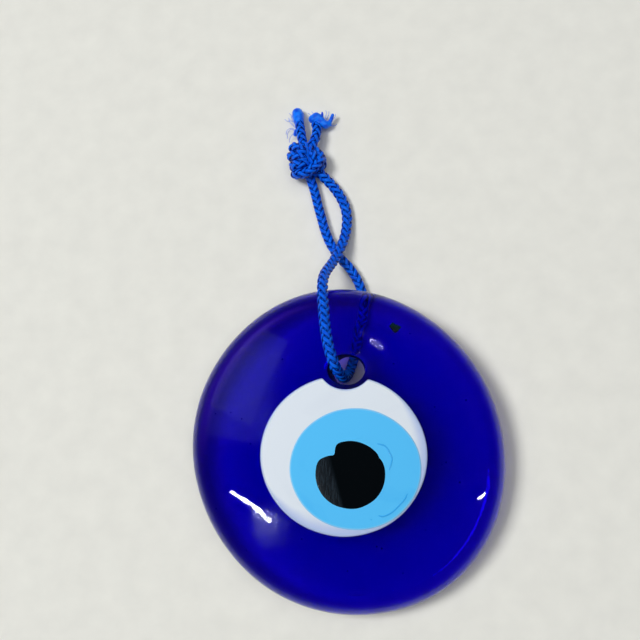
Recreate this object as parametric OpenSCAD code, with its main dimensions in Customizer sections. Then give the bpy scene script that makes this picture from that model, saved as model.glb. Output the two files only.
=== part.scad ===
// Evil eye ornament: a flat, domed disc of blue glass with a white, light blue and
// black eye fused into its front, hung on a knotted loop of thin braided cord.
// It lies face up. The back run of the loop passes under the disc, so the disc
// leans a few degrees: it rests on its lower edge and on its own cord.
// Origin: on the resting surface, below the centre of the glass. +Y points to the knot.

/* [Glass disc] */
// Diameter of the disc
disc_d = 60; // [50:1:72]
// Radius of the rounded rim, which is half the thickness at the edge
edge_r = 3.8; // [3:0.1:4.6]
// Height of the domed front above the rim, at the centre
crown = 1.9; // [1:0.1:3]

/* [Hanging hole] */
// Sideways place of the hole on the disc
hole_x = 0.5; // [-2:0.1:2]
// Distance of the hole above the disc's centre
hole_y = 15.2; // [14:0.1:18]
// Radius of the hole at the back face
bore_r = 3.0; // [2.4:0.1:3.6]
// How much wider the hole is at the front than at the back
hole_taper = 0.3; // [0.1:0.05:0.8]
// Radius of the rounded lip at the front mouth
front_lip_r = 0.9; // [0.5:0.1:1.2]
// Radius of the rounded lip at the back mouth
back_lip_r = 0.6; // [0.3:0.1:0.8]

/* [Eye layers] */
// Diameter of the white layer
white_d = 30; // [24:0.5:36]
// Depth of the white layer at its centre
white_t = 2.2; // [1.6:0.1:3]
// Sideways place of the white layer
white_x = -0.1; // [-2:0.1:2]
// Place of the white layer along the disc
white_y = -0.8; // [-2:0.1:0]
// Width of the blue glass left between the hole's front lip and the white layer
hole_border = 0.2; // [0.1:0.1:1]
// Diameter of the light blue layer
iris_d = 22.8; // [18:0.2:27.4]
// Depth of the light blue layer at its centre
iris_t = 1.4; // [1:0.1:1.6]
// Sideways place of the light blue layer
iris_x = 1.8; // [0:0.1:2.5]
// Place of the light blue layer along the disc
iris_y = -3.3; // [-4:0.1:-1]
// Diameter of the black pupil
pupil_d = 12.6; // [9:0.2:15.2]
// Depth of the pupil at its centre
pupil_t = 0.9; // [0.5:0.1:1.1]
// Sideways place of the pupil
pupil_x = 1.1; // [0:0.1:2.5]
// Place of the pupil along the disc
pupil_y = -4.4; // [-5:0.1:-2]

/* [Cord] */
// Diameter of the braided cord
cord_d = 2.2; // [1.6:0.1:2.6]
// Free gap between the cord and the back of the glass above it
cord_gap = 0.25; // [0.2:0.05:0.6]
// Radius of each lobe of the knot
knot_lobe_r = 2.7; // [2.2:0.1:3.2]
// Radius of the melted bead on the left cord end
left_bead_r = 1.3; // [1.1:0.1:1.6]
// Radius of the melted lump on the right cord end
right_lump_r = 1.25; // [1.1:0.1:1.5]

/* [Hidden] */
$fn = 96;

CORD_SIDES = 8;
LIP_STEPS = 8;
LENS_STEPS = 10;
DOME_STEPS = 14;
OVERCUT = 2;

// The rim is a full round, so the disc's outline is the ring that its centre runs on.
ring_r = disc_d / 2 - edge_r;
// The dome is a sphere that runs smoothly into the top of the rim.
dome_centre_z = (crown * crown - ring_r * ring_r) / (2 * crown);
dome_r = edge_r + crown - dome_centre_z;
// The back of the glass clears the cord at the far side of the hole.
lean = asin((cord_d + cord_gap) / (ring_r + hole_y + bore_r));
seat_z = ring_r * sin(lean) + edge_r;
// Height of the domed front at the hole, above the ring's plane.
mouth_z = dome_centre_z + sqrt(dome_r * dome_r - hole_x * hole_x - hole_y * hole_y);
front_r = bore_r + hole_taper;
mouth_r = front_r + front_lip_r;

// The loop's route: from the knot along the surface, under the glass, up through the
// hole, over the front, down over the rim and over itself, back to the knot.
LOOP_ROUTE = [
  [-8.0, 56.8, 2.0], [-7.2, 54.6, 1.3], [-6.5, 52.2, 1.1], [-5.9, 49.6, 1.1],
  [-5.2, 47.0, 1.1], [-4.5, 44.4, 1.1], [-3.6, 42.0, 1.1], [-2.5, 40.0, 1.1],
  [-1.2, 38.2, 1.1], [0.4, 36.4, 1.1], [1.8, 34.2, 1.1], [2.8, 31.8, 1.1],
  [3.3, 29.2, 1.1], [3.3, 26.5, 1.1], [3.0, 23.8, 1.1], [2.4, 21.2, 1.1],
  [1.5, 18.7, 1.1], [0.9, 16.6, 1.6], [0.5, 15.1, 2.8], [0.1, 14.1, 4.7],
  [-0.3, 13.6, 6.8],
  [-0.8, 14.0, 8.9], [-1.4, 15.0, 10.8], [-1.9, 16.5, 12.0], [-2.5, 18.7, 12.5],
  [-3.0, 21.2, 12.4], [-3.3, 23.8, 12.2], [-3.5, 26.2, 12.0], [-3.7, 28.4, 11.7],
  [-3.8, 30.4, 11.1], [-3.8, 32.1, 10.1], [-3.6, 33.6, 8.6], [-3.2, 34.9, 7.0],
  [-2.7, 36.2, 5.4], [-2.1, 37.6, 4.2], [-1.5, 39.2, 3.4], [-0.8, 41.0, 2.6],
  [-0.3, 43.0, 1.8], [0.0, 45.2, 1.3], [0.0, 47.4, 1.1], [-0.5, 49.6, 1.1],
  [-1.5, 51.7, 1.1], [-2.8, 53.6, 1.1], [-4.2, 55.1, 1.4], [-5.6, 56.5, 2.0]];
// The point of the route that lies halfway through the glass, where its two runs meet.
HALFWAY = 20;
LEFT_TAIL = [[-9.0, 61.6, 2.6], [-9.3, 63.8, 2.4], [-9.6, 66.0, 2.0], [-9.9, 68.0, 1.6]];
RIGHT_TAIL = [[-6.7, 61.2, 2.6], [-6.6, 63.2, 2.5], [-6.3, 65.2, 2.2], [-6.0, 66.8, 1.8]];
// Where the lobes of the knot and of the melted ends lie on the surface.
KNOT_LOBES = [[-9.3, 60.1], [-7.3, 59.9], [-8.9, 57.4], [-7.4, 57.4]];
LEFT_BEAD = [[-10.0, 68.3], [-10.1, 69.5]];
RIGHT_LUMP = [[-6.4, 67.7], [-4.6, 67.0]];

// The direction of a route at one of its points, and the ring of points around it.
function direction(route, i) =
  let (step = route[min(i + 1, len(route) - 1)] - route[max(i - 1, 0)]) step / norm(step);
function across(v) = let (side = cross(v, [1, 0, 0])) side / norm(side);
function cord_ring(route, i) =
  let (along = direction(route, i), up = across(along), side = cross(along, up))
  [for (k = [0:CORD_SIDES - 1])
    let (turn = 360 * k / CORD_SIDES)
    route[i] + cord_d / 2 * (cos(turn) * up + sin(turn) * side)];

// A cord run: one closed tube swept along a route, between two of its points.
module cord_run(route, first, last) {
  rings = last - first;
  points = [for (i = [first:last]) each cord_ring(route, i)];
  sides = [for (i = [0:rings - 1]) for (k = [0:CORD_SIDES - 1])
    let (next = (k + 1) % CORD_SIDES, low = i * CORD_SIDES, high = low + CORD_SIDES)
    each [[low + k, high + k, high + next], [low + k, high + next, low + next]]];
  start = [for (k = [0:CORD_SIDES - 1]) k];
  end = [for (k = [CORD_SIDES - 1:-1:0]) rings * CORD_SIDES + k];
  polyhedron(points, concat([start], sides, [end]), convexity = 6);
}

// Round lobes lying on the surface, drawn together into one lump.
module lump(places, r) {
  hull() for (place = places) translate([place[0], place[1], r]) sphere(r, $fn = 28);
}

// Puts a glass piece, drawn about the middle of the rim, where it lies.
module lying() {
  translate([0, 0, seat_z]) rotate([lean, 0, 0]) children();
}

// The glass inside the rim's ring, from the flat back to the domed front.
module glass_core() {
  reach = asin(ring_r / dome_r);
  curve = [for (i = [0:DOME_STEPS]) let (turn = reach * i / DOME_STEPS)
    [dome_r * sin(turn), dome_centre_z + dome_r * cos(turn)]];
  rotate_extrude() polygon(concat([[0, -edge_r]], curve, [[ring_r, -edge_r]]));
}

module disc_blank() {
  rotate_extrude() translate([ring_r, 0]) circle(edge_r);
  glass_core();
}

// The space of the hole: a slight cone with a rounded lip at each mouth.
module hole_space() {
  front_arc = [for (i = [0:LIP_STEPS]) let (turn = 90 * i / LIP_STEPS)
    [mouth_r - front_lip_r * cos(turn), mouth_z - front_lip_r + front_lip_r * sin(turn)]];
  back_arc = [for (i = [0:LIP_STEPS]) let (turn = 90 * i / LIP_STEPS)
    [bore_r + back_lip_r - back_lip_r * sin(turn),
     back_lip_r - edge_r - back_lip_r * cos(turn)]];
  translate([hole_x, hole_y, 0])
    rotate_extrude()
      polygon(concat(
        [[0, -edge_r - OVERCUT], [bore_r + back_lip_r, -edge_r - OVERCUT]],
        back_arc, front_arc,
        [[mouth_r, mouth_z + OVERCUT], [0, mouth_z + OVERCUT]]));
}

// A lens of fused glass: as deep as t at its centre, and d across at the dome.
module lens(x, y, d, t) {
  rim_drop = dome_r - sqrt(dome_r * dome_r - d * d / 4);
  depth = t - rim_drop;
  lens_r = (d * d / 4 + depth * depth) / (2 * depth);
  top_z = dome_centre_z + sqrt(dome_r * dome_r - x * x - y * y);
  reach = asin((d / 2 + OVERCUT) / lens_r);
  curve = [for (i = [0:LENS_STEPS]) let (turn = reach * i / LENS_STEPS)
    [lens_r * sin(turn), lens_r - lens_r * cos(turn)]];
  translate([x, y, top_z - t])
    rotate_extrude() polygon(concat(curve, [[0, curve[LENS_STEPS][1]]]));
}

module white_lens() {
  difference() {
    lens(white_x, white_y, white_d, white_t);
    translate([hole_x, hole_y, -edge_r])
      cylinder(r = mouth_r + hole_border, h = 4 * edge_r + 2 * crown);
  }
}

module iris_lens() {
  lens(iris_x, iris_y, iris_d, iris_t);
}

module pupil_lens() {
  lens(pupil_x, pupil_y, pupil_d, pupil_t);
}

module glass_body() {
  color([0.09, 0.0, 0.63, 0.6]) lying() difference() {
    disc_blank();
    hole_space();
    white_lens();
    iris_lens();
    pupil_lens();
  }
}

module white_layer() {
  color([0.87, 0.89, 0.93]) lying() difference() {
    intersection() {
      glass_core();
      white_lens();
    }
    iris_lens();
    pupil_lens();
  }
}

module light_blue_layer() {
  color([0.33, 0.75, 0.97]) lying() difference() {
    intersection() {
      glass_core();
      iris_lens();
    }
    pupil_lens();
  }
}

module black_pupil() {
  color([0.02, 0.03, 0.04]) lying() intersection() {
    glass_core();
    pupil_lens();
  }
}

module cord_front_leg() {
  color([0.04, 0.35, 0.91]) cord_run(LOOP_ROUTE, HALFWAY, len(LOOP_ROUTE) - 1);
}

module cord_back_leg() {
  color([0.04, 0.35, 0.91]) cord_run(LOOP_ROUTE, 0, HALFWAY);
}

module cord_knot() {
  color([0.03, 0.28, 0.8]) lump(KNOT_LOBES, knot_lobe_r);
}

module cord_tail_left() {
  color([0.04, 0.35, 0.91]) cord_run(LEFT_TAIL, 0, len(LEFT_TAIL) - 1);
}

module cord_tail_right() {
  color([0.04, 0.35, 0.91]) cord_run(RIGHT_TAIL, 0, len(RIGHT_TAIL) - 1);
}

module melted_bead_left() {
  color([0.05, 0.42, 0.98]) lump(LEFT_BEAD, left_bead_r);
}

module melted_lump_right() {
  color([0.05, 0.42, 0.98]) lump(RIGHT_LUMP, right_lump_r);
}

glass_body();
white_layer();
light_blue_layer();
black_pupil();
cord_front_leg();
cord_back_leg();
cord_knot();
cord_tail_left();
cord_tail_right();
melted_bead_left();
melted_lump_right();
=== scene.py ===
import random
from math import asin, atan2, cos, degrees, exp, hypot, log, pi, radians, sin, sqrt

import bmesh
import bpy
from mathutils import Matrix, Vector, noise


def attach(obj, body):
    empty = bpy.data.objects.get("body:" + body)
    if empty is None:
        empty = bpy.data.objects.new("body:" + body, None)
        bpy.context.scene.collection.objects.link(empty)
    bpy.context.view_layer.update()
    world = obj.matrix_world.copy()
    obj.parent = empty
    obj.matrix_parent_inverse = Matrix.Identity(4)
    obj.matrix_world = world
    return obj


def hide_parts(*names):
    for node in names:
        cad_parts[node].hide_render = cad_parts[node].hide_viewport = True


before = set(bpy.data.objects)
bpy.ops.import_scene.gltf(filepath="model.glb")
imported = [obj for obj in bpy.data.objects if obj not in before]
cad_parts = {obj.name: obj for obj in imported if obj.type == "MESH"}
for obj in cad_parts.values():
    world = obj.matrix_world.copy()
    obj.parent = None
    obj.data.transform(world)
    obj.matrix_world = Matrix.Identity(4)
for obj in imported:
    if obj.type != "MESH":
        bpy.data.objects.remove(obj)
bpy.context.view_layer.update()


# ------------------------------------------------------------------ Blue glass disc
# Cobalt-blue glass, poured and pressed by hand while it is soft: a flat back, a full
# round edge, a low domed front and an outline that isn't quite round. A rod pushed
# through near the top leaves a funnel-shaped hole with a raised lip on one side.
MM = 0.001
DISC_R = 30.0
EDGE_R = 3.8
RING_R = DISC_R - EDGE_R
CROWN = 1.9
DOME_CENTRE = (CROWN**2 - RING_R**2) / (2 * CROWN)
DOME_R = EDGE_R + CROWN - DOME_CENTRE
# The dome runs smoothly into the rim where both lean by the same angle.
RIM_TILT = asin(RING_R / (DOME_R - EDGE_R))
RIM_START = RING_R + EDGE_R * sin(RIM_TILT)
HOLE = Vector((0.5, 14.9))
BORE_R = 3.0
BACK_LIP_R = 0.6
FRONT_LIP_R = 0.9
MOUTH_R = 4.2
MOUTH_ACROSS = 1.09
MOUTH_ALONG = 0.87
CORD_D = 2.2
CORD_GAP = 0.25

# How far the outline strays from round: waves in a turn, then mm across and on the slant.
OUTLINE_WAVES = ((2, -0.43, -0.71), (3, -0.03, -0.2), (5, -0.07, 0.07))
# Soft unevenness of the pressed front and of the back, which lay on a rough plate.
FRONT_WAVE = 0.03
FRONT_WAVE_WIDTH = 9.0
BACK_WAVE = 0.16
BACK_WAVE_WIDTH = 4.0
BACK_WAVE_PLANE = 9
BACK_WAVE_RISE = 6
# The lip pushed up on the far right of the hole, and the dip between it and the hole.
RIDGE_CENTRE = HOLE + Vector((1.4, -0.8))
RIDGE_REACH = 8.1
RIDGE_WIDTH = 1.5
RIDGE_HEIGHT = 0.7
RIDGE_AT = radians(51)
RIDGE_FALL = 6
DIP_DEPTH = 0.5
DIP_REACH = 3.6
DIP_FALL = 4

AROUND = 288
FRONT_RINGS = 66
RIM_RINGS = 22
BACK_RINGS = 26
WALL_RINGS = 8
LIP_RINGS = 7

# Two places closer than this are one place.
SAME_PLACE = 1e-4

# The disc leans on the cord that passes under it, so the back clears the cord.
BORE_UP = 15.2
lean = asin((CORD_D + CORD_GAP) / (RING_R + BORE_UP + BORE_R))
seat = Matrix.Scale(MM, 4) @ Matrix.Translation((0, 0, RING_R * sin(lean) + EDGE_R))
seat = seat @ Matrix.Rotation(lean, 4, "X")


def share_of(value, low, high):
    """How far value is from low to high, from 0 to 1."""
    return min(max((value - low) / (high - low), 0), 1)


def front_wave(x, y):
    """How far the pressed front stands above or below its true shape."""
    return FRONT_WAVE * noise.noise(Vector((x, y, 0)) / FRONT_WAVE_WIDTH)


def front_height(x, y):
    """The height of the glass front above the middle of the rim, at a place on the disc."""
    dome = DOME_CENTRE + sqrt(DOME_R**2 - x**2 - y**2)
    from_ridge = Vector((x, y)) - RIDGE_CENTRE
    turn = atan2(from_ridge.y, from_ridge.x) - RIDGE_AT
    side = max(cos(turn), 0) ** RIDGE_FALL
    ridge = RIDGE_HEIGHT * side * exp(-(((from_ridge.length - RIDGE_REACH) / RIDGE_WIDTH) ** 2))
    from_hole = Vector((x, y)) - HOLE
    dip_side = max(cos(turn / 2), 0) ** DIP_FALL
    dip = DIP_DEPTH * dip_side * exp(-((from_hole.length / DIP_REACH) ** DIP_FALL))
    return dome + ridge - dip + front_wave(x, y)


def spun(profile, closed, steps=AROUND):
    """A form turned once round from a profile of (distance out, height) points."""
    form = bmesh.new()
    corners = [form.verts.new((out, 0, up)) for out, up in profile]
    pairs = list(zip(corners, corners[1:]))
    if closed:
        pairs.append((corners[-1], corners[0]))
    edges = [form.edges.new(pair) for pair in pairs]
    bmesh.ops.spin(form, geom=corners + edges, cent=(0, 0, 0), axis=(0, 0, 1), dvec=(0, 0, 0),
                   angle=2 * pi, steps=steps, use_merge=True, use_normal_flip=False,
                   use_duplicate=False)
    bmesh.ops.remove_doubles(form, verts=form.verts, dist=SAME_PLACE)
    return form


def finished(form, name, material, body, place):
    """Makes a form a smooth piece of its own, in its place, riding on a body."""
    bmesh.ops.transform(form, matrix=place, verts=form.verts)
    bmesh.ops.recalc_face_normals(form, faces=form.faces)
    for face in form.faces:
        face.smooth = True
    mesh = bpy.data.meshes.new(name)
    form.to_mesh(mesh)
    form.free()
    mesh.materials.append(material)
    piece = bpy.data.objects.new(name, mesh)
    bpy.context.scene.collection.objects.link(piece)
    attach(piece, body)
    return piece


def colour(code):
    """An sRGB hex colour as the linear colour that a shader takes."""
    channels = [int(code[i:i + 2], 16) / 255 for i in (1, 3, 5)]
    linear = [c / 12.92 if c <= 0.04045 else ((c + 0.055) / 1.055) ** 2.4 for c in channels]
    return (*linear, 1)


def new_material(name):
    """An empty material, its node tree and its output."""
    material = bpy.data.materials.new(name)
    material.use_nodes = True
    tree = material.node_tree
    tree.nodes.clear()
    return material, tree, tree.nodes.new("ShaderNodeOutputMaterial")


def add_node(tree, kind, inputs=None, **settings):
    """Adds a node with its settings, and fills or links its inputs by name or number."""
    node = tree.nodes.new(kind)
    for name, value in settings.items():
        setattr(node, name, value)
    for name, value in (inputs or {}).items():
        if isinstance(value, bpy.types.NodeSocket):
            tree.links.new(value, node.inputs[name])
        else:
            node.inputs[name].default_value = value
    return node


def add_surface(tree, out, inputs):
    """Adds a principled surface as the surface of the material."""
    surface = add_node(tree, "ShaderNodeBsdfPrincipled", inputs)
    tree.links.new(surface.outputs[0], out.inputs["Surface"])


def add_cloud(tree, scale, **settings):
    """Adds a soft random pattern through the object, and gives its value."""
    place = add_node(tree, "ShaderNodeTexCoord")
    cloud = add_node(tree, "ShaderNodeTexNoise", {"Vector": place.outputs["Object"],
                                                  "Scale": scale, **settings})
    return cloud.outputs[0]


def add_blend(tree, share, start, end):
    """Adds a blend from one colour to another by a share, and gives its colour."""
    blend = add_node(tree, "ShaderNodeMix", {"Factor": share, "A": start, "B": end},
                     data_type="RGBA")
    return blend.outputs["Result"]


SCUFF_AT = (-0.0135, -0.0148, 0.009)
SCUFF_REACH = 0.0065


def cobalt_glass():
    """Cobalt glass, fire-polished: clear and wet-looking, so deep a blue that 8 mm look
    almost violet-black in shadow. It has hairline scratches, faint ripples and one scuffed
    patch at the lower left of the eye."""
    material, tree, out = new_material("cobalt_glass_pressed")
    place = add_node(tree, "ShaderNodeTexCoord")
    ripple = add_node(tree, "ShaderNodeTexNoise", {"Vector": place.outputs["Object"],
                                                   "Scale": 420.0, "Detail": 2.0})
    stretch = add_node(tree, "ShaderNodeMapping", {"Vector": place.outputs["Object"],
                                                   "Rotation": (0, 0, 0.7),
                                                   "Scale": (9000.0, 900.0, 900.0)})
    scratch = add_node(tree, "ShaderNodeTexNoise", {"Vector": stretch.outputs[0], "Scale": 1.0})
    fine = add_node(tree, "ShaderNodeBump", {"Height": scratch.outputs[0], "Strength": 0.012,
                                             "Distance": 0.00002})
    bump = add_node(tree, "ShaderNodeBump", {"Height": ripple.outputs[0], "Strength": 0.05,
                                             "Distance": 0.00012, "Normal": fine.outputs[0]})
    away = add_node(tree, "ShaderNodeVectorMath", {0: place.outputs["Object"], 1: SCUFF_AT},
                    operation="DISTANCE")
    near = add_node(tree, "ShaderNodeMapRange", {"Value": away.outputs["Value"],
                                                 "From Min": SCUFF_REACH, "From Max": 0.0},
                    interpolation_type="SMOOTHSTEP")
    marks = add_node(tree, "ShaderNodeMapRange", {"Value": scratch.outputs[0], "From Min": 0.48,
                                                  "From Max": 0.6, "To Max": 0.26})
    scuffed = add_node(tree, "ShaderNodeMath", {0: near.outputs[0], 1: marks.outputs[0]},
                       operation="MULTIPLY")
    rough = add_node(tree, "ShaderNodeMath", {0: scuffed.outputs[0], 1: 0.015}, operation="ADD")
    add_surface(tree, out, {"Base Color": (1, 1, 1, 1), "Roughness": rough.outputs[0],
                            "IOR": 1.52, "Transmission Weight": 1.0, "Normal": bump.outputs[0]})
    depth = add_node(tree, "ShaderNodeVolumeAbsorption", {"Color": (0.36, 0.04, 0.942, 1),
                                                          "Density": 560.0})
    tree.links.new(depth.outputs[0], out.inputs["Volume"])
    return material


# The colours of the eye: a centre, half the width across and along, the depth, how far
# the edge stands above the blue, and how much more the middle does.
WHITE = {"x": -0.15, "y": -0.9, "across": 15.4, "along": 14.6, "depth": 2.2, "edge": 0.01, "proud": 0.03}
IRIS = {"x": 2.05, "y": -3.3, "across": 12.05, "along": 11.0, "depth": 1.4, "edge": 0.05, "proud": 0.02}
PUPIL = {"x": 1.2, "y": -4.4, "across": 6.4, "along": 6.12, "depth": 0.9, "edge": 0.08, "proud": 0.04}
# The hole's edge cuts into the white, and the cut's two shoulders are rounded.
NOTCH_BORDER = 0.12
SHOULDER_SOFTNESS = 0.3
# Where the pupil was dropped in two touches, a notch stays between them.
PUPIL_NOTCHES = ((129, 11, 1.55), (144, 9, 0.5), (30, 5, 0.15))
LAYER_SINK = 0.15
# The white's edge blends into the blue below. Towards the lower right, away from the lamp, the blend
# reaches much further in: painted shade on that side.
SHADED_SIDE = radians(-55)
LIT_SIDE_SHARE = 0.12
# Where the white passes the hole at a distance, the hole sets no limit to its reach.
NO_LIMIT = 100.0
# The hand-laid outline strays this far, in mm, with this many waves.
OUTLINE_STRAY = 0.08
STRAY_WAVES = 2


def oval_reach(layer, turn):
    """How far a layer's oval reaches from its centre in one direction."""
    return 1 / hypot(cos(turn) / layer["across"], sin(turn) / layer["along"])


def notch_reach(turn):
    """How far the white reaches before it meets the border of the hole."""
    across = MOUTH_R * MOUTH_ACROSS + NOTCH_BORDER
    along = MOUTH_R * MOUTH_ALONG + NOTCH_BORDER
    start = Vector(((WHITE["x"] - HOLE.x) / across, (WHITE["y"] - HOLE.y) / along))
    step = Vector((cos(turn) / across, sin(turn) / along))
    middle = start.dot(step) / step.length_squared
    inside = middle**2 - (start.length_squared - 1) / step.length_squared
    return -middle - sqrt(inside) if inside > 0 and middle < 0 else NO_LIMIT


def layer_reach(layer, turn):
    """How far a layer reaches from its centre in one direction, with its notches."""
    reach = oval_reach(layer, turn)
    if layer is WHITE:
        gap = notch_reach(turn) - reach
        reach -= SHOULDER_SOFTNESS * log(1 + exp(-gap / SHOULDER_SOFTNESS))
    if layer is PUPIL:
        for at, width, notch in PUPIL_NOTCHES:
            off = (degrees(turn) - at + 180) % 360 - 180
            reach -= notch * exp(-((off / width) ** 2))
    uneven = noise.noise(Vector((cos(turn), sin(turn), layer["depth"])) * STRAY_WAVES)
    return reach + OUTLINE_STRAY * uneven


def layer_depth(layer, x, y):
    """How deep a layer goes at a place on the disc, and 0 outside it."""
    from_centre = Vector((x - layer["x"], y - layer["y"]))
    reach = layer_reach(layer, atan2(from_centre.y, from_centre.x))
    part = from_centre.length / reach
    return layer["depth"] * (1 - part**2) if part < 1 else 0


def glass_profile():
    """The section of the disc on one side of the hole, as if hole and disc were round."""
    mouth = MOUTH_R - FRONT_LIP_R
    span = RIM_START - MOUTH_R
    front = [(MOUTH_R + span * i / FRONT_RINGS, EDGE_R) for i in range(FRONT_RINGS + 1)]
    leans = [RIM_TILT + (pi - RIM_TILT) * i / RIM_RINGS for i in range(1, RIM_RINGS)]
    rim = [(RING_R + EDGE_R * sin(lean_out), EDGE_R * cos(lean_out)) for lean_out in leans]
    back_start = BORE_R + BACK_LIP_R
    back = [(RING_R - (RING_R - back_start) * i / BACK_RINGS, -EDGE_R) for i in range(BACK_RINGS)]
    back_lip = [(back_start - BACK_LIP_R * sin(pi / 2 * i / LIP_RINGS),
                 -EDGE_R + BACK_LIP_R * (1 - cos(pi / 2 * i / LIP_RINGS)))
                for i in range(LIP_RINGS)]
    low, high = BACK_LIP_R - EDGE_R, EDGE_R - FRONT_LIP_R
    wall = [(BORE_R + (mouth - BORE_R) * i / WALL_RINGS, low + (high - low) * i / WALL_RINGS)
            for i in range(WALL_RINGS)]
    front_lip = [(MOUTH_R - FRONT_LIP_R * cos(pi / 2 * i / LIP_RINGS),
                  high + FRONT_LIP_R * sin(pi / 2 * i / LIP_RINGS)) for i in range(LIP_RINGS)]
    return front + rim + back + back_lip + wall + front_lip


def press_disc(form):
    """Moves the hole off centre, and gives the turned ring its pressed outline and faces."""
    for corner in form.verts:
        ring = hypot(corner.co.x, corner.co.y)
        turn = atan2(corner.co.y, corner.co.x)
        up = corner.co.z
        out = ring
        to_hole = 1 - share_of(ring, MOUTH_R, RING_R)
        to_rim = 1 - to_hole
        for waves, across, slant in OUTLINE_WAVES:
            out += to_rim * (across * cos(waves * turn) + slant * sin(waves * turn))
        level = (up + EDGE_R) / (2 * EDGE_R)
        funnel = to_hole * level
        x = to_hole * HOLE.x + out * cos(turn) * (1 + (MOUTH_ACROSS - 1) * funnel)
        y = to_hole * HOLE.y + out * sin(turn) * (1 + (MOUTH_ALONG - 1) * funnel)
        uneven = noise.noise(Vector((x, y, BACK_WAVE_PLANE)) / BACK_WAVE_WIDTH)
        back = BACK_WAVE * abs(uneven) * (1 - level) * min(to_hole * BACK_WAVE_RISE, 1)
        if ring > RIM_START + SAME_PLACE:
            height = up + front_wave(x, y) * level
        else:
            height = back - EDGE_R + level * (front_height(x, y) + EDGE_R)
        if level == 1:
            height -= max(0, layer_depth(WHITE, x, y) - LAYER_SINK)
        corner.co = (x, y, height)


disc_form = spun(glass_profile(), closed=True)
press_disc(disc_form)
glass_disc = finished(disc_form, "glass_disc", cobalt_glass(), "disc", seat)
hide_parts("glass_body")


# ------------------------------------------------------------------ Dark lining in the hole, partly painted shade
# A thin sleeve fused onto the glass of the wall of the hole: the dark oxide skin that the steel rod left
# there, made dark enough to be painted shade as well, so the hole has a dark edge from every side.
LINING_PROUD = 0.03
LINING_THICK = 0.05
LINING_FROM_BACK = 0.2
LINING_FROM_FRONT = 0.1


def oxide_and_shade_lining():
    """Iron oxide fused to cobalt glass, blue-black with a dull gloss, dark enough to paint the shade in
    the hole.
    """
    material, tree, out = new_material("oxide_and_painted_shade_in_hole")
    cloud = add_cloud(tree, 700.0, Detail=3.0)
    tint = add_blend(tree, cloud, colour("#02020F"), colour("#0A0A4A"))
    add_surface(tree, out, {"Base Color": tint, "Roughness": 0.5, "Specular IOR Level": 0.25})
    return material


wall_start = BORE_R - LINING_PROUD
wall_end = MOUTH_R - FRONT_LIP_R - LINING_PROUD
wall_low = BACK_LIP_R - EDGE_R + LINING_FROM_BACK
wall_high = EDGE_R - FRONT_LIP_R - LINING_FROM_FRONT
inner_wall = [(wall_start + (wall_end - wall_start) * i / WALL_RINGS,
               wall_low + (wall_high - wall_low) * i / WALL_RINGS) for i in range(WALL_RINGS + 1)]
outer_wall = [(out + LINING_THICK, up) for out, up in reversed(inner_wall)]
lining_form = spun(inner_wall + outer_wall, closed=True)
press_disc(lining_form)
finished(lining_form, "bore_oxide_and_shade", oxide_and_shade_lining(), "disc", seat)


# ------------------------------------------------------------------ Seeds and a dark stone
# Hand-made glass keeps tiny air seeds and grains of soot from the furnace. One dark
# stone of unmelted batch, about 2 mm wide, sits just under the front by the rim.
SEED_COUNT = 46
SEED_SIZES = (0.05, 0.16)
SEED_REACH = (17.5, 27.0)
SEED_HEIGHTS = (-2.8, 3.0)
SEED_SQUASH = (0.6, 1.0)
SEED_OFF_HOLE = 6.5
# One speck in this many is air, and the rest are soot.
SPECKS_PER_SEED = 3
STONE_AT = Vector((9.8, 22.6))
STONE_HALF = 1.15
STONE_THICK = 0.12
STONE_PROUD = 0.02
STONE_BEVEL = 0.04
draw = random.Random(7)


def air_seed():
    """Air shut in the glass: light passes from glass to air, so a seed shows as a bright
    pinprick with a dark edge."""
    material, tree, out = new_material("air_seed")
    add_surface(tree, out, {"Base Color": (1, 1, 1, 1), "Roughness": 0.0, "IOR": 1 / 1.52,
                            "Transmission Weight": 1.0})
    return material


def furnace_stone():
    """Unmelted batch and soot: matt, nearly black with a green cast, slightly uneven."""
    material, tree, out = new_material("furnace_stone")
    grain = add_cloud(tree, 2600.0)
    tint = add_blend(tree, grain, colour("#00131E"), colour("#05262B"))
    bump = add_node(tree, "ShaderNodeBump", {"Height": grain, "Distance": 0.00005})
    add_surface(tree, out, {"Base Color": tint, "Roughness": 0.6, "Specular IOR Level": 0.25,
                            "Normal": bump.outputs[0]})
    return material


def blob(form, centre, size, squash):
    """Adds one small rounded grain, in mm on the disc."""
    made = bmesh.ops.create_icosphere(form, subdivisions=2, radius=size)
    for corner in made["verts"]:
        corner.co.z *= squash
        corner.co += centre


seeds_form = bmesh.new()
grains_form = bmesh.new()
for number in range(SEED_COUNT):
    turn = draw.uniform(0, 2 * pi)
    away = draw.uniform(*SEED_REACH)
    place = Vector((away * cos(turn), away * sin(turn), draw.uniform(*SEED_HEIGHTS)))
    size = draw.uniform(*SEED_SIZES)
    specks_form = grains_form if number % SPECKS_PER_SEED else seeds_form
    if (place.xy - HOLE).length > SEED_OFF_HOLE:
        blob(specks_form, place, size, draw.uniform(*SEED_SQUASH))
finished(seeds_form, "air_seeds", air_seed(), "disc", seat)
finished(grains_form, "soot_grains", furnace_stone(), "disc", seat)

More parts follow.
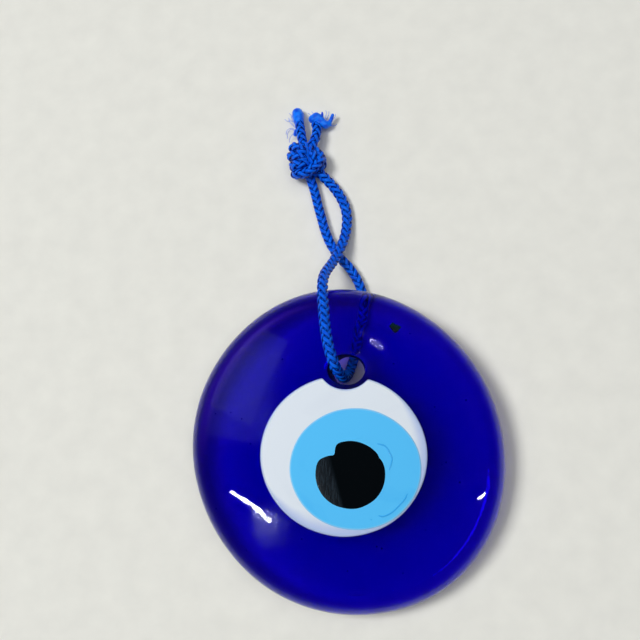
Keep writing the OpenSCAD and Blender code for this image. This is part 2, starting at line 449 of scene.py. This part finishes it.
stone_form = bmesh.new()
stone_corners = [(-1.0, 0.25), (-0.5, 0.85), (0.2, 0.5), (1.0, 0.1), (0.3, -0.7), (-0.05, -0.9),
                 (-0.4, -0.6)]
stone_points = [Vector((*STONE_AT, 0)) + STONE_HALF * Vector((x, y, 0)) for x, y in stone_corners]
stone_face = stone_form.faces.new([stone_form.verts.new(point) for point in stone_points])
stone_top = front_height(*STONE_AT) + STONE_PROUD
bmesh.ops.translate(stone_form, verts=stone_form.verts, vec=(0, 0, stone_top))
lifted = bmesh.ops.extrude_face_region(stone_form, geom=[stone_face])["geom"]
raised = [part for part in lifted if isinstance(part, bmesh.types.BMVert)]
bmesh.ops.translate(stone_form, verts=raised, vec=(0, 0, -STONE_THICK))
bmesh.ops.bevel(stone_form, geom=stone_form.edges, offset=STONE_BEVEL, segments=2, profile=0.5,
                affect="EDGES", material=-1)
finished(stone_form, "dark_stone", furnace_stone(), "disc", seat)


# ------------------------------------------------------------------ White of the eye
# A drop of opal white glass pressed flush into the hot blue. It is a shallow lens,
# deepest in the middle, and the rod that made the hole left a bite in its upper edge.
LAYER_RINGS = 44
LAYER_AROUND = 320
UNDER_RINGS = 12
# How squarely a layer's top rounds down at its edge, and the thickness of that edge.
EDGE_SQUARENESS = 10
LAYER_EDGE_THICK = 0.1


def layer_form(layer, next_layer=None):
    """A shallow lens that follows the glass front, with room on top for the next colour."""
    top = [(i / LAYER_RINGS, 1.0) for i in range(LAYER_RINGS + 1)]
    under = [(1 - i / UNDER_RINGS, -1.0) for i in range(UNDER_RINGS + 1)]
    form = spun(top + under, closed=False, steps=LAYER_AROUND)
    depth_mark = form.verts.layers.float.new("from_edge")
    for corner in form.verts:
        part = hypot(corner.co.x, corner.co.y)
        turn = atan2(corner.co.y, corner.co.x)
        side = corner.co.z
        reach = layer_reach(layer, turn)
        x = layer["x"] + part * reach * cos(turn)
        y = layer["y"] + part * reach * sin(turn)
        height = front_height(x, y)
        if side > 0:
            height += layer["edge"] + layer["proud"] * (1 - part**EDGE_SQUARENESS)
            if next_layer:
                height -= max(0, layer_depth(next_layer, x, y) - LAYER_SINK)
        else:
            height -= layer["depth"] * (1 - part**2) + LAYER_EDGE_THICK
        # Painted shade: for the white, the edge blend widens towards the side turned away from the lamp.
        thin = share_of(cos(turn - SHADED_SIDE), -0.4, 0.8) if layer is WHITE else 1
        corner[depth_mark] = reach * (1 - part) / max(thin, LIT_SIDE_SHARE)
        corner.co = (x, y, height)
    return form


def opal_glass(name, body_colour, edge_colour, edge_width, streak_colour):
    """Opaque coloured glass, fire-polished: an even colour that thins towards the edge,
    where its neighbour shows through, with faint streaks and a wet gloss."""
    material, tree, out = new_material(name)
    mark = add_node(tree, "ShaderNodeAttribute", attribute_name="from_edge")
    cloud = add_cloud(tree, 160.0, Detail=3.0)
    wobble = add_node(tree, "ShaderNodeMath", {0: cloud, 1: 0.5}, operation="ADD")
    width = add_node(tree, "ShaderNodeMath", {0: wobble.outputs[0], 1: edge_width},
                     operation="MULTIPLY")
    inward = add_node(tree, "ShaderNodeMapRange", {"Value": mark.outputs["Fac"], "From Min": 0.0,
                                                   "From Max": width.outputs[0]},
                      interpolation_type="SMOOTHSTEP")
    swirl = add_cloud(tree, 55.0, Detail=4.0, Distortion=1.6)
    streak = add_node(tree, "ShaderNodeMapRange", {"Value": swirl, "From Min": 0.5,
                                                   "From Max": 0.8})
    middle = add_blend(tree, streak.outputs[0], body_colour, streak_colour)
    tint = add_blend(tree, inward.outputs[0], edge_colour, middle)
    bump = add_node(tree, "ShaderNodeBump", {"Height": cloud, "Strength": 0.1,
                                             "Distance": 0.0001})
    add_surface(tree, out, {"Base Color": tint, "Roughness": 0.06, "IOR": 1.52,
                            "Normal": bump.outputs[0]})
    return material


opal_white = opal_glass("opal_white_glass", colour("#DDE6EF"), colour("#AEBFE6"), 4.0,
                        colour("#D6DFEA"))
white_of_eye = finished(layer_form(WHITE, IRIS), "white_of_eye", opal_white, "disc",
                        seat)
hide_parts("white_layer")


# ------------------------------------------------------------------ Light blue ring
# A second drop, of opaque turquoise-blue glass, set low and to the right on the white.
# The two glasses ran into each other a little, so its edge is soft.
turquoise = opal_glass("opal_light_blue_glass", colour("#57C1FA"), colour("#8FD0F8"), 0.4,
                       colour("#45B2F4"))
# Two thin darker threads of glass curl in the right of the ring, with two specks.
STEP = 0.18
SWIRLS = [[(6.2, 1.2), (7.7, 0.7), (8.7, -1.0), (8.8, -1.9), (8.3, -3.6)],
          [(6.2, -11.7), (7.2, -11.8), (8.8, -11.0), (10.8, -9.0), (11.5, -7.8)],
          [(4.8, -12.3), (5.0, -12.5)], [(-6.75, -3.7), (-6.65, -3.7)]]
SWIRL_R = 0.15
SWIRL_SUNK = 0.01
SWIRL_SIDES = 8
SWIRL_TIP_SHARE = 0.5
# Between two points of a route, a smooth line is worked out in this many parts.
FINE_PARTS = 20
ROUNDING = 1e-9


def smooth_line(points, step=STEP):
    """A smooth line through the points, as places an equal step apart, in mm."""
    points = [Vector(point) for point in points]
    reached = [2 * points[0] - points[1], *points, 2 * points[-1] - points[-2]]
    fine = []
    for before, start, end, after in zip(reached, reached[1:], reached[2:], reached[3:]):
        for part in range(FINE_PARTS):
            t = part / FINE_PARTS
            fine.append(0.5 * (2 * start + (end - before) * t
                               + (2 * before - 5 * start + 4 * end - after) * t**2
                               + (3 * start - before - 3 * end + after) * t**3))
    fine.append(points[-1])
    length = sum((b - a).length for a, b in zip(fine, fine[1:]))
    count = max(round(length / step), 4)
    line, walked, wanted = [fine[0]], 0.0, length / count
    for a, b in zip(fine, fine[1:]):
        piece_length = (b - a).length
        while walked + piece_length >= wanted - ROUNDING and len(line) < count:
            line.append(a.lerp(b, (wanted - walked) / piece_length))
            wanted += length / count
        walked += piece_length
    line.append(fine[-1])
    return line


def with_sides(line):
    """Each place of a line with its direction and two sides that don't twist."""
    found = []
    across = None
    for i, place in enumerate(line):
        along = (line[min(i + 1, len(line) - 1)] - line[max(i - 1, 0)]).normalized()
        if across is None:
            across = along.cross(Vector((0, 0, 1)))
        across = (across - along * across.dot(along)).normalized()
        found.append((place, along, across, along.cross(across)))
    return found


def add_tube(rings, points, faces, wraps, sides, start_u=0):
    """Adds a closed tube to a list of points, faces and (along, around) marks."""
    first = len(points)
    for ring in rings:
        points.extend(ring)
    for i in range(len(rings) - 1):
        for k in range(sides):
            a, b = first + i * sides + k, first + i * sides + (k + 1) % sides
            faces.append((a, b, b + sides, a + sides))
            u = start_u + i * STEP
            wraps.extend([(u, k / sides), (u, (k + 1) / sides), (u + STEP, (k + 1) / sides),
                          (u + STEP, k / sides)])
    for ring_start, turn in ((first, -1), (first + (len(rings) - 1) * sides, 1)):
        faces.append(tuple(ring_start + k for k in range(sides))[::turn])
        wraps.extend([(start_u, 0.5)] * sides)


def swirl_glass():
    """The same light blue glass, a shade darker where it was stretched thin."""
    material, tree, out = new_material("drawn_light_blue_glass")
    add_surface(tree, out, {"Base Color": colour("#3BAAF0"), "Roughness": 0.15, "IOR": 1.52})
    return material


light_blue_ring = finished(layer_form(IRIS, PUPIL), "light_blue_ring", turquoise, "disc",
                           seat)
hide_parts("light_blue_layer")

points, faces, wraps = [], [], []
swirl_lift = IRIS["edge"] + IRIS["proud"] - SWIRL_SUNK
for places in SWIRLS:
    route = [(x, y, front_height(x, y) + swirl_lift) for x, y in places]
    rings = []
    for place, _, across, side in with_sides(smooth_line(route)):
        ends = min((place - Vector(route[0])).length, (place - Vector(route[-1])).length)
        width = SWIRL_R * min(SWIRL_TIP_SHARE + ends, 1)
        flat = width / 3
        turns = [2 * pi * k / SWIRL_SIDES for k in range(SWIRL_SIDES)]
        rings.append([place + width * cos(turn) * across + flat * sin(turn) * side
                      for turn in turns])
    add_tube(rings, points, faces, wraps, SWIRL_SIDES)
swirl_mesh = bpy.data.meshes.new("swirl")
swirl_mesh.from_pydata(points, [], faces)
swirl_form = bmesh.new()
swirl_form.from_mesh(swirl_mesh)
finished(swirl_form, "swirl_lines", swirl_glass(), "disc", seat)


# ------------------------------------------------------------------ Black pupil
# The last drop: black glass, put on in two touches that left a small notch at the
# upper left. It is pressed in least, so it stands a hair proud and reflects the room.
TOUCH_BORDER = -0.00265
TOUCH_SOFTNESS = 0.0007


def black_glass():
    """Black glass, glossy. The first touch, on the left, is duller and finely scratched."""
    material, tree, out = new_material("black_glass")
    place = add_node(tree, "ShaderNodeTexCoord")
    rightward = add_node(tree, "ShaderNodeVectorMath", {0: place.outputs["Object"],
                                                        1: (0.966, 0.259, 0.0)},
                         operation="DOT_PRODUCT")
    left = add_node(tree, "ShaderNodeMapRange", {"Value": rightward.outputs["Value"],
                                                 "From Min": TOUCH_BORDER,
                                                 "From Max": TOUCH_BORDER - TOUCH_SOFTNESS})
    stretch = add_node(tree, "ShaderNodeMapping", {"Vector": place.outputs["Object"],
                                                   "Rotation": (0, 0, 0.9),
                                                   "Scale": (5000.0, 700.0, 700.0)})
    hair = add_node(tree, "ShaderNodeTexNoise", {"Vector": stretch.outputs[0], "Scale": 1.0,
                                                 "Detail": 2.0})
    marks = add_node(tree, "ShaderNodeMapRange", {"Value": hair.outputs[0], "From Min": 0.35,
                                                  "From Max": 0.75})
    dull = add_blend(tree, marks.outputs[0], colour("#080E14"), colour("#212C35"))
    tint = add_blend(tree, left.outputs[0], colour("#04080B"), dull)
    rough = add_node(tree, "ShaderNodeMapRange", {"Value": left.outputs[0], "To Min": 0.05,
                                                  "To Max": 0.22})
    add_surface(tree, out, {"Base Color": tint, "Roughness": rough.outputs[0], "IOR": 1.52})
    return material


black_pupil = finished(layer_form(PUPIL), "pupil", black_glass(), "disc", seat)
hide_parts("black_pupil")


# ------------------------------------------------------------------ Hanging loop
# One length of thin polyester cord, braided from eight shiny blue strands, passed up
# through the hole and back to its knot. It is one cord: the two runs meet in the hole.
LOOP_ROUTE = [
    (-8.0, 56.8, 2.0), (-7.2, 54.6, 1.3), (-6.5, 52.2, 1.1), (-5.9, 49.6, 1.1),
    (-5.2, 47.0, 1.1), (-4.5, 44.4, 1.1), (-3.6, 42.0, 1.1), (-2.5, 40.0, 1.1),
    (-1.2, 38.2, 1.1), (0.4, 36.4, 1.1), (1.8, 34.2, 1.1), (2.8, 31.8, 1.1),
    (3.3, 29.2, 1.1), (3.3, 26.5, 1.1), (3.0, 23.8, 1.1), (2.4, 21.2, 1.1),
    (1.5, 18.7, 1.1), (0.9, 16.6, 1.6), (0.5, 15.1, 2.8), (0.1, 14.1, 4.7),
    (-0.3, 13.6, 6.8),
    (-0.8, 14.0, 8.9), (-1.4, 15.0, 10.8), (-1.9, 16.5, 12.0), (-2.5, 18.7, 12.5),
    (-3.0, 21.2, 12.4), (-3.3, 23.8, 12.2), (-3.5, 26.2, 12.0), (-3.7, 28.4, 11.7),
    (-3.8, 30.4, 11.1), (-3.8, 32.1, 10.1), (-3.6, 33.6, 8.6), (-3.2, 34.9, 7.0),
    (-2.7, 36.2, 5.4), (-2.1, 37.6, 4.2), (-1.5, 39.2, 3.4), (-0.8, 41.0, 2.6),
    (-0.3, 43.0, 1.8), (0.0, 45.2, 1.3), (0.0, 47.4, 1.1), (-0.5, 49.6, 1.1),
    (-1.5, 51.7, 1.1), (-2.8, 53.6, 1.1), (-4.2, 55.1, 1.4), (-5.6, 56.5, 2.0)]
HALFWAY = 20
# The braid: four strands each way. Those of one way lie on top over a quarter of the
# turn and dive under in the next, so two columns of slanting stitches show.
STRANDS = 8
LAY_LENGTH = 5.8
STRAND_REACH = 0.66
STRAND_WEAVE = 0.19
STRAND_WIDE = 0.84
STRAND_THICK = 0.48
STRAND_SIDES = 10
STRAND_SHIFT = 7.3
HEART_R = 0.5
HEART_SIDES = 8


def braided_mesh(name, line, first=0, last=None, thick=1.0):
    """The strands and the heart of a braided cord, between two places of a line."""
    last = len(line) - 1 if last is None else last
    sided = with_sides(line)
    points, faces, wraps = [], [], []
    for strand in range(STRANDS):
        way = 1 if strand % 2 else -1
        phase = (strand // 2) * pi / 2 + (0 if strand % 2 else pi / 4)
        middles = []
        for i in range(first, last + 1):
            place, _, across, side = sided[i]
            turn = way * 2 * pi * i * STEP / LAY_LENGTH + phase
            weave = way * sin(2 * turn)
            reach = thick * (STRAND_REACH + STRAND_WEAVE * weave)
            out = cos(turn) * across + sin(turn) * side
            middles.append((place + reach * out, out))
        rings = []
        for i, (middle, out) in enumerate(middles):
            along = middles[min(i + 1, len(middles) - 1)][0] - middles[max(i - 1, 0)][0]
            flat = along.cross(out).normalized()
            up = flat.cross(along).normalized()
            ring = []
            for k in range(STRAND_SIDES):
                angle = 2 * pi * k / STRAND_SIDES
                ring.append(middle + thick / 2 * (STRAND_WIDE * cos(angle) * flat
                                                  + STRAND_THICK * sin(angle) * up))
            rings.append(ring)
        start_u = strand * STRAND_SHIFT + first * STEP
        add_tube(rings, points, faces, wraps, STRAND_SIDES, start_u)
    heart = []
    for i in range(first, last + 1):
        place, _, across, side = sided[i]
        turns = [2 * pi * k / HEART_SIDES for k in range(HEART_SIDES)]
        heart.append([place + thick * HEART_R * (cos(turn) * across + sin(turn) * side)
                      for turn in turns])
    strand_faces = len(faces)
    add_tube(heart, points, faces, wraps, HEART_SIDES)
    mesh = bpy.data.meshes.new(name)
    mesh.from_pydata([point * MM for point in points], [], faces)
    around = mesh.uv_layers.new(name="along_strand")
    for corner, wrap in zip(around.data, wraps):
        corner.uv = wrap
    mesh.polygons.foreach_set("use_smooth", [True] * len(mesh.polygons))
    in_heart = [int(i >= strand_faces) for i in range(len(faces))]
    mesh.polygons.foreach_set("material_index", in_heart)
    form = bmesh.new()
    form.from_mesh(mesh)
    bmesh.ops.recalc_face_normals(form, faces=form.faces)
    form.to_mesh(mesh)
    form.free()
    return mesh


def polyester_braid():
    """Bright polyester filament: each strand is a flat bundle of shiny parallel threads, azure, with
    painted shade in navy at its sides where it meets its neighbours, and hard little glints."""
    material, tree, out = new_material("polyester_braid")
    wrap = add_node(tree, "ShaderNodeUVMap", uv_map="along_strand")
    spread = add_node(tree, "ShaderNodeMapping", {"Vector": wrap.outputs[0],
                                                  "Scale": (0.5, 22.0, 1.0)})
    threads = add_node(tree, "ShaderNodeTexNoise", {"Vector": spread.outputs[0], "Scale": 1.0,
                                                    "Detail": 2.0})
    tone = add_node(tree, "ShaderNodeMapRange", {"Value": threads.outputs[0], "From Min": 0.35,
                                                 "From Max": 0.65})
    thread = add_blend(tree, tone.outputs[0], colour("#003CD0"), colour("#0878FF"))
    marks = add_node(tree, "ShaderNodeSeparateXYZ", {0: wrap.outputs[0]})
    angle = add_node(tree, "ShaderNodeMath", {0: marks.outputs["Y"], 1: 2 * pi},
                     operation="MULTIPLY")
    painted_shade_around = add_node(tree, "ShaderNodeMath", {0: angle.outputs[0]}, operation="SINE")
    height = add_node(tree, "ShaderNodeMapRange", {"Value": painted_shade_around.outputs[0], "From Min": 0.25,
                                                   "From Max": 0.92},
                      interpolation_type="SMOOTHSTEP")
    # Painted shade: each strand turns navy at its sides, where it dives against its neighbours.
    tint = add_blend(tree, height.outputs[0], colour("#000C66"), thread)
    bump = add_node(tree, "ShaderNodeBump", {"Height": threads.outputs[0], "Strength": 0.6,
                                             "Distance": 0.00006})
    add_surface(tree, out, {"Base Color": tint, "Roughness": 0.24, "IOR": 1.45,
                            "Specular IOR Level": 0.3, "Normal": bump.outputs[0]})
    return material


def shaded_threads():
    """The threads deep inside the braid, which hardly any light reaches: matt navy."""
    material, tree, out = new_material("polyester_in_the_braid")
    add_surface(tree, out, {"Base Color": colour("#000B50"), "Roughness": 0.8})
    return material


def cord_piece(name, mesh, materials):
    """A cord mesh as a piece that swings with the loop."""
    for material in materials:
        mesh.materials.append(material)
    piece = bpy.data.objects.new(name, mesh)
    bpy.context.scene.collection.objects.link(piece)
    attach(piece, "hanging_loop")
    return piece


braid = [polyester_braid(), shaded_threads()]
loop_line = smooth_line(LOOP_ROUTE)
middle_point = Vector(LOOP_ROUTE[HALFWAY])
meeting = min(range(len(loop_line)), key=lambda i: (loop_line[i] - middle_point).length)
under_mesh = braided_mesh("loop_under_run", loop_line, last=meeting)
under_run = cord_piece("loop_under_run", under_mesh, braid)
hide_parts("cord_back_leg")
over_mesh = braided_mesh("loop_over_run", loop_line, first=meeting)
over_run = cord_piece("loop_over_run", over_mesh, braid)
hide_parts("cord_front_leg")


# ------------------------------------------------------------------ Knot
# Both ends of the cord are tied together in one tight overhand knot, so thick laps of
# the same braid lie side by side, and over one another, on a core that hardly shows.
KNOT_CENTRE = Vector((-8.17, 58.87, 2.7))
KNOT_LAPS = {
    "upper": [(-1.2, 1.9, -1.5), (-2.5, 2.6, -0.7), (-2.6, 2.7, 0.5), (-1.7, 2.4, 1.5),
              (-0.6, 1.6, 1.8), (0.4, 0.6, 1.3), (1.0, -0.3, 0.3)],
    "middle": [(-1.6, 0.7, -1.5), (-2.9, 1.0, -0.7), (-3.0, 0.9, 0.5), (-1.9, 0.6, 1.5),
               (-0.6, 0.1, 1.7), (0.5, -0.5, 1.1), (1.0, -1.0, 0.2)],
    "lower": [(-1.4, -0.8, -1.5), (-2.5, -1.0, -0.8), (-2.5, -1.1, 0.3), (-1.7, -1.2, 1.2),
              (-0.6, -1.2, 1.4), (0.4, -1.2, 0.9), (0.9, -1.3, 0.0)],
    "bottom": [(-1.2, -1.2, -1.6), (-2.1, -2.1, -1.0), (-2.2, -2.9, 0.0), (-1.2, -3.2, 0.9),
               (0.1, -3.1, 1.2), (1.3, -2.5, 1.4), (2.3, -1.7, 1.3), (3.0, -0.6, 0.9),
               (2.9, 0.6, 0.4), (2.2, 1.7, 0.1), (1.1, 2.1, -0.6)],
    "inner": [(-0.3, 3.2, -0.3), (0.4, 2.4, 0.5), (1.1, 1.4, 1.1), (1.6, 0.3, 1.3),
              (1.5, -0.7, 1.0), (0.8, -1.5, 0.3)],
    "right": [(1.0, 2.4, -1.2), (2.3, 1.7, -1.1), (3.1, 0.5, -0.9), (3.1, -0.8, -0.8),
              (2.3, -2.0, -0.9), (1.0, -2.6, -1.2)],
}
LAP_THICK = 0.98
CORE_HALF = (2.1, 2.4, 1.5)
CORE_SUNK = 0.4

for lap, places in KNOT_LAPS.items():
    lap_line = smooth_line([KNOT_CENTRE + Vector(place) for place in places])
    lap_mesh = braided_mesh("knot_lap_" + lap, lap_line, thick=LAP_THICK)
    cord_piece("knot_lap_" + lap, lap_mesh, braid)

core_form = bmesh.new()
bmesh.ops.create_icosphere(core_form, subdivisions=3, radius=1.0)
bmesh.ops.scale(core_form, verts=core_form.verts, vec=CORE_HALF)
core_centre = KNOT_CENTRE - Vector((0, 0, CORE_SUNK))
bmesh.ops.translate(core_form, verts=core_form.verts, vec=core_centre)
knot_core = finished(core_form, "knot_core", braid[1], "hanging_loop",
                     Matrix.Scale(MM, 4))
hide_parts("cord_knot")


# ------------------------------------------------------------------ Cut ends
# Two short tails of the same cord stand out of the knot. Each was cut and melted with a
# flame: the left one into a smooth oval bead, the right one into a lumpy crumb.
TAIL_LEFT = [(-8.2, 60.6, 3.0), (-8.8, 62.4, 2.7), (-9.2, 64.4, 2.4), (-9.5, 66.2, 2.1),
             (-9.8, 67.8, 1.7)]
TAIL_RIGHT = [(-7.3, 60.4, 3.0), (-6.8, 62.2, 2.8), (-6.2, 64.0, 2.6), (-6.0, 65.6, 2.3),
              (-6.3, 67.0, 1.9)]
BEAD = [(-9.75, 67.2, 1.75, 0.95), (-9.9, 68.2, 1.6, 1.15), (-10.05, 69.2, 1.45, 1.3),
        (-10.2, 69.8, 1.4, 1.15)]
DRIP = [(-10.1, 66.2, 1.6, 0.5), (-10.55, 65.6, 1.3, 0.5), (-10.7, 65.2, 1.2, 0.42)]
CRUMB = [(-6.9, 68.2, 1.7, 0.95), (-6.2, 68.7, 1.8, 0.9), (-5.4, 68.3, 1.7, 0.75),
         (-5.1, 67.4, 1.5, 0.95), (-4.3, 67.0, 1.4, 0.9), (-3.6, 67.1, 1.3, 0.6),
         (-5.9, 67.4, 1.6, 0.9)]
SPIKE = [(-3.5, 67.4, 1.3, 0.45), (-3.1, 68.1, 1.5, 0.42), (-2.8, 68.9, 1.7, 0.36)]
HOOK = [(-5.0, 68.4, 1.8, 0.3), (-4.9, 69.0, 1.9, 0.26), (-4.95, 69.5, 1.9, 0.22)]
# Each ball of a row is at a place, with its radius last. More lie between two of them.
MELT_PARTS = (0, 0.33, 0.67, 1)
MELT_VOXEL = 0.12


def melted_polyester():
    """Polyester after the flame: the threads have run together into smooth bright azure
    plastic with a soft gloss and a few darker, singed spots."""
    material, tree, out = new_material("melted_polyester")
    cloud = add_cloud(tree, 900.0, Detail=3.0)
    tone = add_node(tree, "ShaderNodeMapRange", {"Value": cloud, "From Min": 0.35,
                                                 "From Max": 0.6})
    tint = add_blend(tree, tone.outputs[0], colour("#0347DC"), colour("#0A7BFF"))
    bump = add_node(tree, "ShaderNodeBump", {"Height": cloud, "Strength": 0.5,
                                             "Distance": 0.0001})
    add_surface(tree, out, {"Base Color": tint, "Roughness": 0.32, "IOR": 1.58,
                            "Normal": bump.outputs[0]})
    return material


def melted_piece(name, *rows):
    """Drops of melted cord that have run together: balls in rows, fused and smoothed."""
    form = bmesh.new()
    for row in rows:
        places = [Vector(ball) for ball in row]
        for start, end in zip(places, places[1:]):
            for part in MELT_PARTS:
                ball = start.lerp(end, part)
                made = bmesh.ops.create_icosphere(form, subdivisions=3, radius=ball.w)
                bmesh.ops.translate(form, verts=made["verts"], vec=ball.xyz)
    piece = finished(form, name, melted, "hanging_loop", Matrix.Scale(MM, 4))
    fuse = piece.modifiers.new("fuse", "REMESH")
    fuse.mode = "VOXEL"
    fuse.voxel_size = MELT_VOXEL * MM
    fuse.use_smooth_shade = True
    settle = piece.modifiers.new("settle", "SMOOTH")
    settle.factor = 0.5
    settle.iterations = 4
    return piece


melted = melted_polyester()
tail_left = cord_piece("tail_left", braided_mesh("tail_left", smooth_line(TAIL_LEFT)), braid)
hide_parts("cord_tail_left")
tail_right = cord_piece("tail_right", braided_mesh("tail_right", smooth_line(TAIL_RIGHT)), braid)
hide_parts("cord_tail_right")
bead = melted_piece("melted_bead", BEAD, DRIP)
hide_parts("melted_bead_left")
crumb = melted_piece("melted_crumb", CRUMB, SPIKE, HOOK)
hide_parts("melted_lump_right")

# Single threads that escaped the flame curl away from both ends.
WISPS = [
    [(-10.2, 66.8, 1.4), (-11.0, 67.9, 1.3), (-11.5, 69.0, 0.9), (-11.7, 69.9, 0.5)],
    [(-10.3, 66.4, 1.3), (-11.2, 67.2, 1.5), (-11.9, 68.2, 1.1), (-12.2, 69.3, 0.5)],
    [(-10.4, 65.8, 1.2), (-11.5, 66.3, 1.5), (-12.3, 65.8, 1.0), (-12.5, 64.7, 0.4)],
    [(-10.4, 65.9, 1.2), (-11.3, 66.6, 1.3), (-12.4, 66.5, 0.8), (-12.8, 65.7, 0.3)],
    [(-4.6, 67.6, 1.8), (-4.2, 68.6, 2.0), (-4.1, 69.6, 1.6), (-4.3, 70.2, 1.2)],
    [(-4.3, 67.5, 1.8), (-3.8, 68.4, 2.0), (-3.6, 69.2, 1.7), (-3.6, 69.9, 1.3)],
    [(-6.8, 68.8, 1.9), (-6.9, 69.5, 1.8), (-7.2, 70.0, 1.5)],
    [(-10.6, 68.4, 1.5), (-11.4, 69.2, 1.7), (-12.0, 70.0, 1.3)],
    [(-10.5, 67.4, 1.5), (-11.4, 68.0, 1.8), (-12.4, 68.2, 1.4), (-13.0, 68.9, 0.8)],
    [(-10.3, 65.6, 1.2), (-11.1, 65.3, 1.4), (-11.8, 64.6, 1.0), (-12.0, 63.8, 0.5)],
    [(-3.9, 67.0, 1.6), (-3.0, 66.6, 1.7), (-2.4, 66.7, 1.3), (-2.0, 67.2, 0.9)],
    [(-3.6, 67.3, 1.5), (-2.9, 67.7, 1.8), (-2.3, 68.5, 1.6), (-2.2, 69.3, 1.2)],
    [(-7.0, 68.6, 1.9), (-7.6, 69.3, 1.9), (-7.9, 69.6, 1.6)],
]
WISP_R = 0.045
WISP_SIDES = 5
for number, places in enumerate(WISPS):
    points, faces, wraps, rings = [], [], [], []
    for place, _, across, side in with_sides(smooth_line(places)):
        turns = [2 * pi * k / WISP_SIDES for k in range(WISP_SIDES)]
        rings.append([place + WISP_R * (cos(turn) * across + sin(turn) * side) for turn in turns])
    add_tube(rings, points, faces, wraps, WISP_SIDES)
    wisp_mesh = bpy.data.meshes.new("wisp")
    wisp_mesh.from_pydata([point * MM for point in points], [], faces)
    cord_piece(f"wisp_{number + 1}", wisp_mesh, [melted])


# ------------------------------------------------------------------ Table, light and camera
# A plain pale table top, one soft lamp at the upper left and a wide fill overhead. Three
# weak lamps are there only for their reflections: two short tubes and a dim window.
FLOOR_HALF = 1.2


def table_top():
    """A pale laminate with a very faint pebble and mottle, matt."""
    material, tree, out = new_material("pale_laminate")
    mottle = add_cloud(tree, 220.0, Detail=6.0)
    tint = add_blend(tree, mottle, colour("#DDDDD6"), colour("#EBEBE3"))
    bump = add_node(tree, "ShaderNodeBump", {"Height": mottle, "Strength": 0.15,
                                             "Distance": 0.0002})
    add_surface(tree, out, {"Base Color": tint, "Roughness": 0.6, "Normal": bump.outputs[0]})
    return material


floor_form = bmesh.new()
bmesh.ops.create_grid(floor_form, x_segments=1, y_segments=1, size=FLOOR_HALF)
floor_mesh = bpy.data.meshes.new("table")
floor_form.to_mesh(floor_mesh)
floor_form.free()
floor_mesh.materials.append(table_top())
table = bpy.data.objects.new("table", floor_mesh)
bpy.context.scene.collection.objects.link(table)


def add_lamp(name, direction, distance, across, along, power, spin=0.0, mirrored=False):
    """A rectangular lamp that faces the disc from a direction, at a distance in metres.
    A mirrored lamp is there only for its reflection on the surface."""
    lamp = bpy.data.lights.new(name, "AREA")
    lamp.shape = "RECTANGLE"
    lamp.size = across
    lamp.size_y = along
    lamp.energy = power
    holder = bpy.data.objects.new(name, lamp)
    bpy.context.scene.collection.objects.link(holder)
    towards = Vector(direction).normalized()
    holder.location = towards * distance
    facing = towards.to_track_quat("Z", "Y")
    holder.rotation_euler = (facing.to_matrix() @ Matrix.Rotation(spin, 3, "Z")).to_euler()
    holder.visible_glossy = mirrored
    holder.visible_transmission = not mirrored
    return holder


add_lamp("key_lamp", (-0.453, 0.122, 0.883), 1.6, 0.5, 0.5, 16.3)
add_lamp("fill_lamp", (0.1, 0.1, 1.0), 1.5, 1.6, 1.6, 10.3)
add_lamp("left_tube", (-0.398, -0.25, 0.884), 0.6, 0.1, 0.007, 0.18, radians(20.5), mirrored=True)
add_lamp("right_tube", (0.355, -0.225, 0.907), 0.6, 0.021, 0.005, 0.03, radians(-19), mirrored=True)
add_lamp("dim_window", (-0.45, 0.2, 0.87), 1.0, 0.3, 0.3, 0.055, mirrored=True)

# The room that the glass reflects: pale near the horizon and dark overhead.
world = bpy.data.worlds.new("room")
bpy.context.scene.world = world
world.use_nodes = True
room = world.node_tree
room.nodes.clear()
way = add_node(room, "ShaderNodeTexCoord")
split = add_node(room, "ShaderNodeSeparateXYZ", {0: way.outputs["Generated"]})
height = add_node(room, "ShaderNodeMapRange", {"Value": split.outputs["Z"], "From Min": 0.15,
                                               "From Max": 0.6}, interpolation_type="SMOOTHSTEP")
seen = add_blend(room, height.outputs[0], (0.16, 0.16, 0.18, 1), (0.012, 0.012, 0.014, 1))
glow = add_node(room, "ShaderNodeBackground", {"Color": seen, "Strength": 1.0})
add_node(room, "ShaderNodeOutputWorld", {"Surface": glow.outputs[0]})

lens = bpy.data.cameras.new("camera")
lens.lens = 49.45
lens.sensor_width = 36.0
lens.clip_start = 0.01
camera = bpy.data.objects.new("camera", lens)
bpy.context.scene.collection.objects.link(camera)
camera.location = (0.015565, -0.005593, 0.172737)
camera.rotation_euler = (radians(10.3), radians(7.0), 0.0)
bpy.context.scene.camera = camera
bpy.context.scene.view_settings.view_transform = "Standard"
